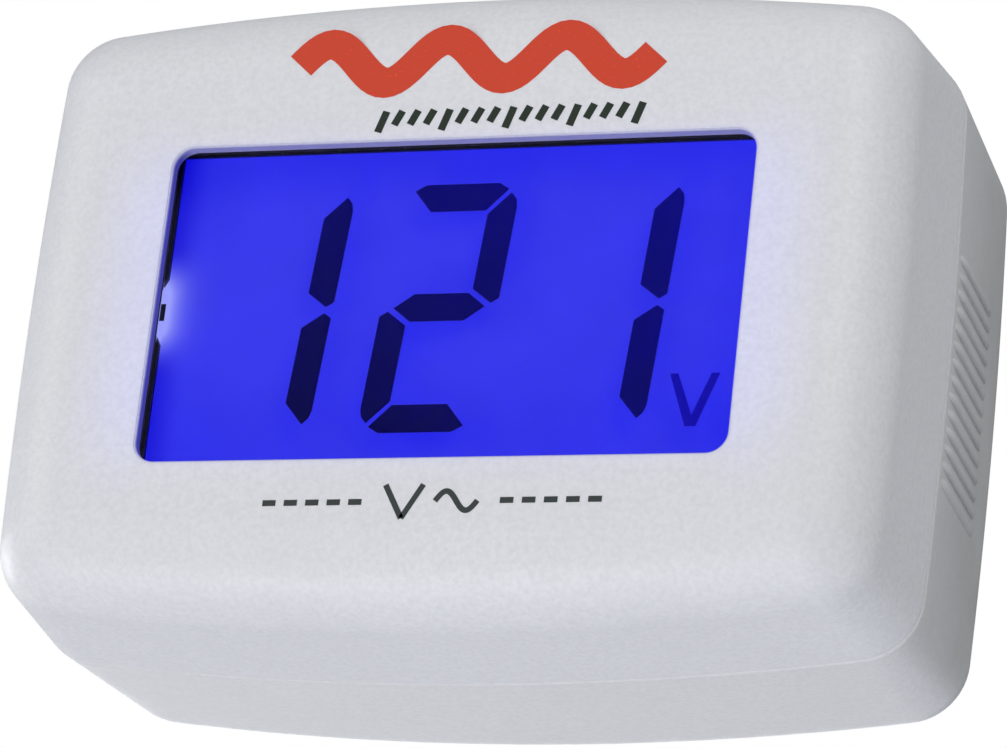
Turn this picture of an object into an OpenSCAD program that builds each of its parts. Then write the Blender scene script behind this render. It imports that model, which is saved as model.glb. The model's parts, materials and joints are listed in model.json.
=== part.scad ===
// Plug-in AC voltmeter for a wall outlet: a two-shell housing with a backlit liquid-crystal
// display in front, a circuit board behind it and two flat plug blades at the back.
// Frame: X to the right as seen from the front, Z up, +Y into the wall. The origin is the
// centre of the rear face, so a depth u behind the front face is at Y = u - depth.

/* [Housing] */
// Width of the front face, before its edges are rounded
face_w = 63; // [62:0.5:64]
// Height of the front face at its middle
face_h = 46.2; // [45:0.1:47]
// Width of the housing at the parting line
split_w = 65; // [64.5:0.5:67]
// Height of the housing at the parting line
split_h = 47.6; // [47:0.1:49]
// Width of the rear face, before its edges are rounded
back_w = 63.4; // [62.5:0.1:65]
// Height of the rear face at its middle
back_h = 45.8; // [45:0.1:47.5]
// Depth from the front face to the rear face
depth = 34; // [33.5:0.1:35]
// Depth of the parting line behind the front face
parting = 14.6; // [14.4:0.1:15.2]
// How far the top and bottom bow outwards at their middle
top_bow = 1.6; // [1.2:0.1:1.9]
// How far the sides bow outwards at their middle
side_bow = 0.3; // [0.2:0.05:0.5]
// Radius of the four long corners
corner_r = 4.5; // [4.4:0.1:5]
// Rounding of the front edge
front_r = 5.6; // [4.4:0.1:5.7]
// Rounding of the rear edge
rear_r = 5.2; // [4:0.1:5.3]
// Wall thickness of both shells
wall = 2; // [1.8:0.1:2.1]

/* [Display] */
// Width of the display opening
window_w = 42.4; // [41:0.1:42.6]
// Height of the display opening
window_h = 23.4; // [22:0.1:23.5]
// Corner radius of the display opening
window_r = 1.5; // [0.6:0.1:2]
// Height of one digit
digit_h = 18.3; // [15:0.1:19]
// Width of one digit
digit_w = 8.44; // [7:0.02:9]
// Distance from one digit to the next
digit_pitch = 12; // [11:0.1:12.4]
// Width of one segment
stroke = 2.02; // [1.4:0.02:2.2]
// Lean of the digits, in degrees
lean = 4.5; // [0:0.5:6]

/* [Grip ribs] */
// Number of ribs on each side of the rear cover
rib_count = 14; // [4:1:14]
// Distance from one rib to the next
rib_pitch = 1.27; // [1.1:0.01:1.35]

/* [Plug] */
// Distance between the middles of the two blades
blade_spacing = 12.7; // [12.7:0.1:12.7]
// Width of a blade
blade_w = 6.35; // [6.1:0.05:6.6]
// Thickness of a blade
blade_t = 1.5; // [1.4:0.05:1.6]
// Length of a blade in front of the rear face
blade_l = 17.5; // [16:0.1:18.2]
// Diameter of the hole through a blade
blade_hole_d = 3.2; // [3:0.1:3.3]
// Distance of the blade hole from the rear face
blade_hole_y = 11.9; // [11.5:0.1:12.2]

/* [Hidden] */
round_fn = 48;
eps = 0.02;
gap = 0.1;

// Housing details
edge_steps = 6;
arc_steps = 6;
side_steps = 3;
bow_steps = 5;
seam = 0.25;
corner_share = 0.75;
least_r = 0.3;
lip_out = 1.05;
lip_h = 1;
case_screw_at = [[26.2, 13.5], [-26.2, 13.5], [26.2, -13.5], [-26.2, -13.5]];
case_boss_r = 2.3;
case_boss_end = 17;
case_pilot_r = 1.1;
case_pilot_start = 6.5;
screw_tube_r = 3.3;
screw_well_r = 2.4;
screw_seat = 20;
screw_clear_r = 1.45;
rib_start = 15.6;
rib_end = 25.6;
rib_w = 0.7;
rib_rise = 0.24;
rib_mid_z = -0.7;

// Display stack: its centre, and the depth where each layer begins
lcd_x = 0.8;
lcd_z = -1.15;
window_up = 0.15;
polariser_t = 0.2;
glass_t = 0.9;
crystal_t = 0.05;
lip_t = 0.9;
front_glass_u = lip_t + polariser_t;
crystal_u = front_glass_u + glass_t;
rear_glass_u = crystal_u + crystal_t;
rear_polariser_u = rear_glass_u + glass_t;
diffuser_u = 3.25;
diffuser_t = 0.15;
guide_u = 3.5;
guide_t = 3;
reflector_t = 0.1;
glass_w = 44.6;
front_glass_h = 28.8;
rear_glass_h = 25.1;
pocket_clear = 0.3;
guide_left = -21.7;
guide_right = 21.4;
guide_bottom = -11.9;
guide_top = 12.4;
tab_left = -23;
tab_z = 0.9;
tab_half = 2.7;
slot_w = 0.28;
slot_h = 1.2;
holder_w = 45.6;
holder_h = 29.6;
holder_bore_w = 43.7;
holder_bore_h = 24.7;
holder_bore_up = 0.2;
strip_w = 40;
strip_z = 13.5;
strip_t = 1.4;
digits_x = -0.95;
digits_z = 0.15;

// Circuit board
board_u = 8;
board_t = 1.6;
board_back = board_u + board_t;
board_side = 28;
board_side_h = 10.5;
board_mid = 22.9;
board_top = 18.3;
board_bottom = -19.5;
board_screw_at = [[10, 16.4], [-10, 16.4], [10, -17.9], [-10, -17.9]];
board_boss_r = 1.8;
board_pilot_r = 0.8;
board_screw_r = 0.95;
lead_r = 0.3;
lead_hole_r = 0.42;
lead_end = board_u - 0.6;

// Parts on the board: middle [x, z] and spacing of the leads
dropper_at = [-11, -8.5];
dropper_size = [18, 13, 7.5];
dropper_pitch = 15;
smoother_at = [17.5, -9.5];
smoother_r = 4;
smoother_h = 11.5;
smoother_pitch = 3.5;
varistor_at = [-17.5, 4];
varistor_r = 4.5;
varistor_t = 3.6;
varistor_pitch = 5;
fuse_at = [-12, 9];
fuse_pitch = 15;
diode_at = [[7, 9.2], [7, 6], [17.2, 9.2], [17.2, 6]];
zener_at = [7, 2.8];
divider_at = [[17.2, 2.8], [17.2, 0.1], [17.2, -2.6]];
axial_pitch = 9;
trimmer_at = [-2.8, 3];
trimmer_pins = [[-2.5, -1.6], [2.5, -1.6], [0, 2.2]];
trimmer_w = 6.6;
trimmer_end = board_back + 4.4;
rotor_r = 2.3;
rotor_clear = 0.05;
rotor_start = board_back + 1;
led_x = -23.6;
led_pitch = 2.54;
chip_at = [5.3, -6.8];
wire_at = [[-5, 15.6], [5, 15.6]];

// Plug
blade_shoulder_w = 9.2;
blade_tag_w = 4.4;
inner_rear = depth - wall;
shoulder_u = inner_rear - 1.5;
tag_start = 22;
clamp_t = 2;
clamp_screw_x = 13;
clamp_boss_r = 2.3;
clamp_screw_r = 1.1;
clamp_pilot_r = 0.95;
wire_r = 0.85;
wire_core_r = 0.4;

function pair(at, pitch) = [[at[0] - pitch / 2, at[1]], [at[0] + pitch / 2, at[1]]];
rear_leads = concat(
    pair(dropper_at, dropper_pitch), pair(smoother_at, smoother_pitch),
    pair(varistor_at, varistor_pitch), pair(fuse_at, fuse_pitch),
    [for (d = diode_at) each pair(d, axial_pitch)], pair(zener_at, axial_pitch),
    [for (d = divider_at) each pair(d, axial_pitch)], wire_at,
    [for (p = trimmer_pins) trimmer_at + p]
);
led_leads = [for (s = [-1, 1]) [led_x, lcd_z + tab_z + s * led_pitch / 2]];

function span(middle, size) = [middle - size / 2, middle + size / 2];

// ---- Outline of the housing ----

function mix(a, b, t) = a + (b - a) * t;
function half_w(u) = u < parting
    ? mix(face_w, split_w, u / parting) / 2
    : mix(split_w, back_w, (u - parting) / (depth - parting)) / 2;
function half_h(u) = u < parting
    ? mix(face_h, split_h, u / parting) / 2
    : mix(split_h, back_h, (u - parting) / (depth - parting)) / 2;

// A bowed rectangle with corners (a, b), set out by r: one quarter, from side middle to top middle
function side_point(a, b, r, t) =
    let (n = [1, 2 * side_bow * t / b])
    [a + side_bow * (1 - t * t), b * t] + r * n / norm(n);
function top_point(a, b, r, t) =
    let (n = [2 * top_bow * t / a, 1])
    [a * t, b + top_bow * (1 - t * t)] + r * n / norm(n);
function quarter(a, b, r) =
    let (low = atan(2 * side_bow / b), high = 90 - atan(2 * top_bow / a))
    concat(
        [for (i = [0 : side_steps - 1]) side_point(a, b, r, i / side_steps)],
        [for (i = [0 : arc_steps]) let (g = mix(low, high, i / arc_steps))
            [a + r * cos(g), b + r * sin(g)]],
        [for (i = [bow_steps - 1 : -1 : 0]) top_point(a, b, r, i / bow_steps)]
    );
function outline(a, b, r) =
    let (q = quarter(a, b, r), n = len(q) - 1)
    concat(
        [for (i = [0 : n - 1]) q[i]],
        [for (i = [n : -1 : 1]) [-q[i][0], q[i][1]]],
        [for (i = [0 : n - 1]) -q[i]],
        [for (i = [n : -1 : 1]) [q[i][0], -q[i][1]]]
    );

// One ring of the housing's skin at depth u, moved in from the drafted surface
function ring(u, inset) =
    let (r = max(corner_r - corner_share * inset, least_r), deeper = inset - corner_r + r)
    [for (p = outline(half_w(u) - side_bow - corner_r - deeper,
                      half_h(u) - top_bow - corner_r - deeper, r))
        [p[0], u - depth, p[1]]];

// A closed skin through a list of [depth, inset] stations
module skin(stations) {
    rings = [for (s = stations) ring(s[0], s[1])];
    n = len(rings[0]);
    last = len(rings) - 1;
    points = [for (r = rings) each r];
    sides = [for (k = [0 : last - 1], i = [0 : n - 1])
        let (j = (i + 1) % n, a = k * n + i, b = k * n + j, c = b + n, d = a + n)
        each [[a, b, c], [a, c, d]]];
    front = [for (i = [n - 1 : -1 : 0]) i];
    back = [for (i = [0 : n - 1]) last * n + i];
    polyhedron(points, concat([front], sides, [back]), convexity = 6);
}

// Stations round an edge of radius r, from the side wall to the end face; the edge lies at depth u
// and inset i, and the end face looks forwards (way 1) or backwards (way -1)
function edge(u, i, r, way) = [for (k = [0 : edge_steps]) let (g = 90 * k / edge_steps)
    [u + way * r * (1 - sin(g)), i + r * (1 - cos(g))]];
function reversed(list) = [for (i = [len(list) - 1 : -1 : 0]) list[i]];

// ---- Small building blocks, all placed by x, z and depth u ----

module plate(u0, u1) {
    translate([0, u1 - depth, 0]) rotate([90, 0, 0]) linear_extrude(u1 - u0) children();
}

module peg(at, u0, u1, r) {
    translate([at[0], u1 - depth, at[1]]) rotate([90, 0, 0]) cylinder(h = u1 - u0, r = r, $fn = round_fn);
}

module block(x, z, u) {
    translate([x[0], u[0] - depth, z[0]]) cube([x[1] - x[0], u[1] - u[0], z[1] - z[0]]);
}

// A turned shape: its profile is [radius, height], with the height running towards the front from u
module turned(at, u, profile) {
    translate([at[0], u - depth, at[1]]) rotate([90, 0, 0])
        rotate_extrude($fn = round_fn) polygon(profile);
}

module rounded_rect(w, h, r) {
    square([w - 2 * r, h], center = true);
    square([w, h - 2 * r], center = true);
    for (x = [-1, 1], z = [-1, 1]) translate([x * (w / 2 - r), z * (h / 2 - r)]) circle(r, $fn = round_fn);
}

module lcd_plate(u, t, w, h) {
    plate(u, u + t) translate([lcd_x, lcd_z]) square([w, h], center = true);
}

// ---- Housing ----

module front_cover() {
    color("whitesmoke") difference() {
        union() {
            skin(concat(
                reversed(edge(0, 0, front_r, 1)),
                [[parting - seam, 0], [parting, seam], [parting, lip_out],
                 [parting + lip_h, lip_out], [parting + lip_h, wall], [parting, wall]],
                edge(wall, wall, front_r - wall, 1)
            ));
            for (at = case_screw_at) peg(at, wall - 0.5, case_boss_end, case_boss_r);
            for (at = board_screw_at) peg(at, wall - 0.5, board_u, board_boss_r);
        }
        plate(-1, wall + 1) translate([lcd_x, lcd_z + window_up])
            rounded_rect(window_w, window_h, window_r);
        plate(lip_t, wall + 1) translate([lcd_x, lcd_z])
            square([glass_w + pocket_clear * 2, front_glass_h + pocket_clear * 2], center = true);
        for (at = case_screw_at) peg(at, case_pilot_start, case_boss_end + 1, case_pilot_r);
        for (at = board_screw_at) peg(at, wall + 1.4, board_u + 1, board_pilot_r);
    }
}

// One grip rib along the depth, on the side given by s
module rib(s, z) {
    slope = (half_w(rib_end) - half_w(rib_start)) / (rib_end - rib_start);
    bow = side_bow * pow(z / (half_h(rib_start) - top_bow - corner_r), 2);
    x = half_w(rib_start) - bow;
    reach = rib_end - rib_start;
    translate([0, rib_start - depth, z - rib_w / 2]) linear_extrude(rib_w)
        polygon([[s * (x - 1), 0], [s * (x + rib_rise), 0.4],
                 [s * (x + slope * reach + rib_rise), reach - 0.4], [s * (x + slope * reach - 1), reach]]);
}

module rear_cover() {
    color("gainsboro") difference() {
        union() {
            skin(concat(
                reversed(edge(inner_rear, wall, rear_r - wall, -1)),
                [[parting + lip_h + gap, wall], [parting + lip_h + gap, lip_out - gap],
                 [parting, lip_out - gap], [parting, seam], [parting + seam, 0]],
                edge(depth, 0, rear_r, -1)
            ));
            for (at = case_screw_at) peg(at, case_boss_end, inner_rear + 0.5, screw_tube_r);
            for (s = [-1, 1]) peg([s * clamp_screw_x, 0], shoulder_u, inner_rear + 0.5, clamp_boss_r);
            for (s = [-1, 1], i = [0 : rib_count - 1])
                rib(s, rib_mid_z + rib_pitch * (i - (rib_count - 1) / 2));
        }
        for (at = case_screw_at) {
            peg(at, screw_seat, depth + 1, screw_well_r);
            peg(at, case_boss_end - 1, screw_seat + 1, screw_clear_r);
        }
        for (s = [-1, 1]) {
            peg([s * clamp_screw_x, 0], shoulder_u - 1, inner_rear + 0.6, clamp_pilot_r);
            block([s * blade_spacing / 2 - blade_t / 2 - gap, s * blade_spacing / 2 + blade_t / 2 + gap],
                  [-blade_w / 2 - gap, blade_w / 2 + gap], [inner_rear - 1, depth + 1]);
        }
    }
}

// A pan-head screw: its head sits behind u, and its shank runs towards the front
module screw(at, u, head_r, head_h, shank_r, length) {
    difference() {
        turned(at, u, [[0, -head_h], [head_r - 0.4, -head_h], [head_r, -head_h + 0.5], [head_r, 0],
                       [shank_r, 0], [shank_r, length - 1.2], [0.3, length], [0, length]]);
        for (turn = [0, 90]) translate([at[0], u - depth + head_h, at[1]]) rotate([0, turn, 0])
            cube([head_r * 1.15, 1.2, 0.5], center = true);
    }
}

module case_screws() {
    color("silver") for (at = case_screw_at) screw(at, screw_seat, 2.2, 1.7, 1.3, 11.5);
}

// ---- Display ----

module lcd_front_polariser() {
    color([0.3, 0.35, 0.45]) lcd_plate(lip_t, polariser_t, glass_w - 0.6, rear_glass_h + 1);
}

module lcd_front_glass() {
    color([0.7, 0.85, 0.9]) lcd_plate(front_glass_u, glass_t, glass_w, front_glass_h);
}

module lcd_seal() {
    color([0.2, 0.2, 0.25]) plate(crystal_u, crystal_u + crystal_t) translate([lcd_x, lcd_z])
        difference() {
            square([glass_w - 0.4, rear_glass_h - 0.1], center = true);
            square([glass_w - 1.4, rear_glass_h - 0.7], center = true);
        }
}

// The two kinds of segment, about the digit's middle: a lies along the top, b down the upper right
w2 = digit_w / 2;
h2 = digit_h / 2;
seg_a = [[-w2 + 0.8, h2 - 0.45], [-w2 + 1.58, h2], [w2 - 1.58, h2], [w2 - 0.8, h2 - 0.45],
         [w2 - stroke - 0.2, h2 - stroke], [-w2 + stroke + 0.2, h2 - stroke]];
seg_b = [[w2 - 0.56, h2 - 0.74], [w2 - 0.14, h2 - 1.2], [w2, h2 - 1.75], [w2, 0.59],
         [w2 - 0.55, 0.24], [w2 - stroke, 1.3], [w2 - stroke, h2 - stroke - 0.28]];
seg_g = [[-w2 + 0.92, 0], [-w2 + stroke + 0.25, stroke / 2], [w2 - stroke - 0.25, stroke / 2],
         [w2 - 0.92, 0], [w2 - stroke - 0.25, -stroke / 2], [-w2 + stroke + 0.25, -stroke / 2]];

// One digit, with the letters of its lit segments
module digit(lit) {
    for (s = lit) {
        if (s == "a") polygon(seg_a);
        if (s == "b") polygon(seg_b);
        if (s == "c") mirror([0, 1]) polygon(seg_b);
        if (s == "d") mirror([0, 1]) polygon(seg_a);
        if (s == "e") mirror([1, 0]) mirror([0, 1]) polygon(seg_b);
        if (s == "g") polygon(seg_g);
    }
}

module leaned() {
    multmatrix([[1, tan(lean), 0, 0], [0, 1, 0, 0], [0, 0, 1, 0]]) children();
}

lit_segments = ["bc", "abged", "bc"];

module lcd_segments() {
    color([0.05, 0, 0.3]) plate(crystal_u, crystal_u + crystal_t)
        translate([lcd_x + digits_x, lcd_z + digits_z]) leaned()
            for (i = [0 : 2]) translate([(i - 1) * digit_pitch, 0]) digit(lit_segments[i]);
}

// The fixed V for volts: an outline of two thin strokes
mark_at = [17.87, -7];
mark_w = 3.5;
mark_h = 3.8;
mark_t = 0.58;
mark_foot = 0.75;

module lcd_unit_mark() {
    color([0.1, 0.05, 0.6]) plate(crystal_u, crystal_u + crystal_t)
        translate([lcd_x + mark_at[0], lcd_z + mark_at[1]]) polygon([
            [-mark_w / 2, mark_h / 2], [-mark_w / 2 + mark_t, mark_h / 2], [0.03, -mark_h / 2 + 0.8],
            [mark_w / 2 - mark_t, mark_h / 2], [mark_w / 2, mark_h / 2],
            [mark_foot / 2, -mark_h / 2], [-mark_foot / 2, -mark_h / 2]]);
}

module lcd_rear_glass() {
    color([0.7, 0.85, 0.9]) lcd_plate(rear_glass_u, glass_t, glass_w, rear_glass_h);
}

module lcd_rear_polariser() {
    color([0.3, 0.35, 0.45]) lcd_plate(rear_polariser_u, polariser_t, glass_w - 0.6, rear_glass_h - 0.4);
}

// Corners of the tapered tab at the left of the light guide, where the light enters: the tab reaches
// out to left and is grown up and down by grow
function tab_points(left, grow) = [
    [guide_left, tab_z + tab_half + grow],
    [guide_left - 0.5, tab_z + tab_half - 1 + grow],
    [left, tab_z + tab_half - 1 + grow],
    [left, tab_z - tab_half + 1 - grow],
    [guide_left - 0.5, tab_z - tab_half + 1 - grow],
    [guide_left, tab_z - tab_half - grow]];

// Outline of the light guide: a rectangle with the tab, and a locating slot at the root of the tab
module guide_outline() {
    translate([lcd_x, lcd_z]) difference() {
        polygon(concat(
            [[guide_left, guide_bottom], [guide_right, guide_bottom], [guide_right, guide_top],
            [guide_left, guide_top]],
            tab_points(tab_left + 0.2, 0)));
        translate([guide_left - 0.3, tab_z]) square([slot_w, slot_h], center = true);
    }
}

module diffuser_film() {
    color([0.85, 0.9, 1]) plate(diffuser_u, diffuser_u + diffuser_t) translate([lcd_x, lcd_z])
        translate([guide_left, guide_bottom]) square([guide_right - guide_left, guide_top - guide_bottom]);
}

module light_guide() {
    color([0.25, 0.3, 1]) plate(guide_u, guide_u + guide_t) guide_outline();
}

module reflector_film() {
    color("white") plate(guide_u + guide_t, guide_u + guide_t + reflector_t) guide_outline();
}

// A side-looking LED: a block with a low lens towards the light guide, and two leads into the board
module backlight_led() {
    z = lcd_z + tab_z;
    face = lcd_x + tab_left - 0.2;
    color([0.6, 0.7, 1]) {
        block([face - 1.9, face], [z - 2.4, z + 2.4], [guide_u, guide_u + guide_t]);
        intersection() {
            translate([face - 0.6, guide_u - depth + guide_t / 2, z]) sphere(0.95, $fn = 24);
            block([face, face + 1], [z - 1, z + 1], [guide_u, guide_u + guide_t]);
        }
        for (at = led_leads) peg(at, guide_u + guide_t, board_back + 0.6, lead_r);
    }
}

// A frame behind the glass: it holds the light guide in the middle and a contact strip on each side
module display_holder() {
    color([0.12, 0.12, 0.14]) plate(diffuser_u, board_u) translate([lcd_x, lcd_z]) difference() {
        square([holder_w, holder_h], center = true);
        translate([0, holder_bore_up]) square([holder_bore_w, holder_bore_h], center = true);
        for (s = [-1, 1]) translate([0, s * strip_z]) square([strip_w + 0.2, strip_t + 0.1], center = true);
        polygon(tab_points(-holder_w / 2 - 1, gap));
    }
}

module contact_strips() {
    color([0.2, 0.2, 0.2]) for (s = [-1, 1])
        plate(crystal_u, board_u) translate([lcd_x, lcd_z + s * strip_z])
            square([strip_w, strip_t], center = true);
}

// ---- Circuit board and what it carries ----

module circuit_board() {
    color("darkgreen") difference() {
        plate(board_u, board_back) polygon([
            [-board_side, -board_side_h], [-board_mid, -board_side_h], [-board_mid, board_bottom],
            [board_mid, board_bottom], [board_mid, -board_side_h], [board_side, -board_side_h],
            [board_side, board_side_h], [board_mid, board_side_h], [board_mid, board_top],
            [-board_mid, board_top], [-board_mid, board_side_h], [-board_side, board_side_h]]);
        for (at = concat(rear_leads, led_leads)) peg(at, board_u - 1, board_back + 1, lead_hole_r);
        for (at = board_screw_at) peg(at, board_u - 1, board_back + 1, board_screw_r + 0.15);
    }
}

module board_screws() {
    color("silver") for (at = board_screw_at) screw(at, board_back, 1.7, 1.3, board_screw_r, 6);
}

// Solder cones round the leads: in front of the board, and behind it for the LED
solder_profile = [[lead_r + eps, 0], [0.85, 0], [0.5, 0.35], [lead_r + eps, 0.5]];

module solder_joints() {
    color("lightgray") {
        for (at = rear_leads) turned(at, board_u, solder_profile);
        for (at = led_leads) mirror_depth(board_back) turned(at, board_back, solder_profile);
    }
}

module mirror_depth(u) {
    translate([0, u - depth, 0]) mirror([0, 1, 0]) translate([0, depth - u, 0]) children();
}

// A flat chip with a row of bent pins on each side
chip_body = 10;
chip_pins = 11;
chip_pin_pitch = 0.8;
pin_w = 0.36;
pin_t = 0.2;
pin_up = 1.1;
pin_out = 0.35;
pin_foot = 0.9;

module measuring_chip() {
    color([0.12, 0.12, 0.12]) {
        block(span(chip_at[0], chip_body), span(chip_at[1], chip_body), [board_back + 0.2, board_back + 2.2]);
        translate([chip_at[0], 0, chip_at[1]])
            for (turn = [0, 90, 180, 270], i = [0 : chip_pins - 1]) rotate([0, turn, 0])
                translate([chip_body / 2, board_back - depth, (i - (chip_pins - 1) / 2) * chip_pin_pitch]) {
                    translate([0, pin_up - pin_t, -pin_w / 2]) cube([pin_out + pin_t / 2, pin_t, pin_w]);
                    translate([pin_out, 0, -pin_w / 2]) cube([pin_t, pin_up, pin_w]);
                    translate([pin_out, 0, -pin_w / 2]) cube([pin_foot, pin_t, pin_w]);
                }
    }
}

module dropper_capacitor() {
    color("goldenrod") {
        block(span(dropper_at[0], dropper_size[0]), span(dropper_at[1], dropper_size[2]),
              [board_back + 0.3, board_back + 0.3 + dropper_size[1]]);
        for (at = pair(dropper_at, dropper_pitch)) peg(at, lead_end, board_back + 0.3, lead_r);
    }
}

module smoothing_capacitor() {
    color([0.1, 0.1, 0.25]) {
        turned(smoother_at, board_back + 0.2 + smoother_h, [
            [0, 0.3], [smoother_r - 0.8, 0.3], [smoother_r - 0.5, 0], [smoother_r - 0.2, 0],
            [smoother_r, 0.3], [smoother_r, smoother_h - 1.9], [smoother_r - 0.3, smoother_h - 1.5],
            [smoother_r, smoother_h - 1.1], [smoother_r, smoother_h], [0, smoother_h]]);
        for (at = pair(smoother_at, smoother_pitch)) peg(at, lead_end, board_back + 0.2, lead_r);
    }
}

// A small part lying on the board with a lead bent down at each end
module axial_part(at, length, r, pitch) {
    axis_u = board_back + r + 0.2;
    translate([at[0], axis_u - depth, at[1]]) rotate([0, 90, 0]) {
        cylinder(h = length, r = r, center = true, $fn = round_fn);
        cylinder(h = pitch, r = lead_r, center = true, $fn = round_fn);
    }
    for (p = pair(at, pitch)) {
        peg(p, lead_end, axis_u, lead_r);
        translate([p[0], axis_u - depth, p[1]]) sphere(lead_r, $fn = round_fn);
    }
}

module rectifier_diodes() {
    color([0.12, 0.12, 0.12]) for (at = diode_at) axial_part(at, 5, 1.3, axial_pitch);
}

module zener_diode() {
    color("orangered") axial_part(zener_at, 4, 0.95, axial_pitch);
}

module fuse_resistor() {
    color("mediumseagreen") axial_part(fuse_at, 10, 1.9, fuse_pitch);
}

module divider_resistors() {
    color("cornflowerblue") for (at = divider_at) axial_part(at, 6, 1.1, axial_pitch);
}

// A coated disc standing on its edge on two leads
module surge_varistor() {
    middle = board_back + 0.8 + varistor_r;
    color("royalblue") {
        translate([varistor_at[0], middle - depth, varistor_at[1]]) rotate_extrude($fn = round_fn)
            polygon([[0, -varistor_t / 2], [varistor_r - 1, -varistor_t / 2],
                     [varistor_r, -varistor_t / 2 + 1], [varistor_r, varistor_t / 2 - 1],
                     [varistor_r - 1, varistor_t / 2], [0, varistor_t / 2]]);
        for (at = pair(varistor_at, varistor_pitch)) peg(at, lead_end, middle - 3.2, lead_r);
    }
}

// Calibration trimmer: a square body with a round well, and the slotted rotor that turns in it
module trimmer_body() {
    color("steelblue") {
        difference() {
            block(span(trimmer_at[0], trimmer_w), span(trimmer_at[1], trimmer_w),
                  [board_back + 0.2, trimmer_end]);
            peg(trimmer_at, rotor_start - rotor_clear, trimmer_end + 1, rotor_r + rotor_clear);
        }
        for (p = trimmer_pins) peg(trimmer_at + p, lead_end, board_back + 0.3, lead_r);
    }
}

module trimmer_rotor() {
    color("ivory") difference() {
        peg(trimmer_at, rotor_start, trimmer_end - 0.2, rotor_r);
        translate([trimmer_at[0], trimmer_end - 0.2 - depth, trimmer_at[1]]) {
            cube([rotor_r * 1.6, 1.6, 0.7], center = true);
            cube([0.7, 1.6, rotor_r * 0.9], center = true);
        }
    }
}

// ---- Plug ----

// A flat blade: the tapered prong behind the rear face, a shoulder inside it and a tag for the wire
module blade(x) {
    tip = 1.3;
    thin = 0.35;
    color("gold") translate([x, 0, 0]) difference() {
        intersection() {
            rotate([0, 90, 0]) translate([0, 0, -blade_t / 2]) linear_extrude(blade_t) polygon([
                [-blade_w / 2, -wall], [-blade_w / 2, blade_l - tip], [-blade_w / 2 + tip, blade_l],
                [blade_w / 2 - tip, blade_l], [blade_w / 2, blade_l - tip], [blade_w / 2, -wall],
                [blade_shoulder_w / 2, -wall], [blade_shoulder_w / 2, shoulder_u - depth],
                [blade_tag_w / 2, shoulder_u - depth], [blade_tag_w / 2, tag_start - depth],
                [-blade_tag_w / 2, tag_start - depth], [-blade_tag_w / 2, shoulder_u - depth],
                [-blade_shoulder_w / 2, shoulder_u - depth], [-blade_shoulder_w / 2, -wall]]);
            translate([0, 0, -blade_w]) linear_extrude(2 * blade_w) polygon([
                [-blade_t / 2, tag_start - depth - 1], [blade_t / 2, tag_start - depth - 1],
                [blade_t / 2, blade_l - tip], [blade_t / 2 - thin, blade_l],
                [-blade_t / 2 + thin, blade_l], [-blade_t / 2, blade_l - tip]]);
        }
        for (y = [[blade_hole_y, blade_hole_d / 2], [tag_start - depth + 1.8, 0.8]])
            translate([0, y[0], 0]) rotate([0, 90, 0])
                cylinder(h = blade_t + 1, r = y[1], center = true, $fn = round_fn);
    }
}

module live_blade() {
    blade(-blade_spacing / 2);
}

module neutral_blade() {
    blade(blade_spacing / 2);
}

// The bar that holds the shoulders of both blades against the rear wall
module blade_clamp() {
    color("white") plate(shoulder_u - clamp_t, shoulder_u) difference() {
        rounded_rect(2 * clamp_screw_x + 6, 8.4, 2);
        for (s = [-1, 1]) {
            translate([s * blade_spacing / 2, 0])
                square([blade_t + 2 * gap, blade_tag_w + 2 * gap], center = true);
            translate([s * clamp_screw_x, 0]) circle(clamp_screw_r + 0.15, $fn = round_fn);
        }
    }
}

module clamp_screws() {
    color("silver") for (s = [-1, 1])
        mirror_depth(shoulder_u - clamp_t) screw([s * clamp_screw_x, 0], shoulder_u - clamp_t,
                                                 1.9, 1.3, clamp_screw_r, clamp_t + 1.9);
}

// A wire from a blade's tag to the board: a round sleeve swept along one smooth curve
wire_rings = 16;
wire_sides = 10;

function curve(p, t) = p[0] * pow(1 - t, 3) + 3 * p[1] * t * pow(1 - t, 2)
    + 3 * p[2] * t * t * (1 - t) + p[3] * pow(t, 3);
function curve_way(p, t) = let (w = (p[1] - p[0]) * pow(1 - t, 2)
    + 2 * (p[2] - p[1]) * t * (1 - t) + (p[3] - p[2]) * t * t) w / norm(w);

module sleeve(p, r) {
    points = [for (k = [0 : wire_rings], i = [0 : wire_sides - 1])
        let (t = k / wire_rings, w = curve_way(p, t), a = cross(w, [1, 0, 0]) / norm(cross(w, [1, 0, 0])),
             b = cross(w, a), g = 360 * i / wire_sides)
        curve(p, t) + r * (a * cos(g) + b * sin(g))];
    sides = [for (k = [0 : wire_rings - 1], i = [0 : wire_sides - 1])
        let (j = (i + 1) % wire_sides, a = k * wire_sides + i, b = k * wire_sides + j)
        each [[a, a + wire_sides, b + wire_sides], [a, b + wire_sides, b]]];
    ends = [[for (i = [0 : wire_sides - 1]) i],
            [for (i = [wire_sides - 1 : -1 : 0]) wire_rings * wire_sides + i]];
    polyhedron(points, concat(sides, ends), convexity = 4);
}

module wire(s) {
    start = [s * (blade_spacing / 2 + blade_t / 2 + wire_core_r + eps), tag_start - depth - 0.4, 0];
    pad = [wire_at[s < 0 ? 0 : 1][0], board_back - depth + 0.4, wire_at[0][1]];
    sleeve([start, start - [0, 7, 0], pad + [0, 8, 0], pad], wire_r);
    peg([start[0], 0], tag_start - 0.4, tag_start + 3.4, wire_core_r);
    peg([pad[0], pad[2]], lead_end, board_back + 0.4, lead_r);
}

module live_wire() {
    color([0.15, 0.15, 0.15]) wire(-1);
}

module neutral_wire() {
    color("white") wire(1);
}

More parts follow.
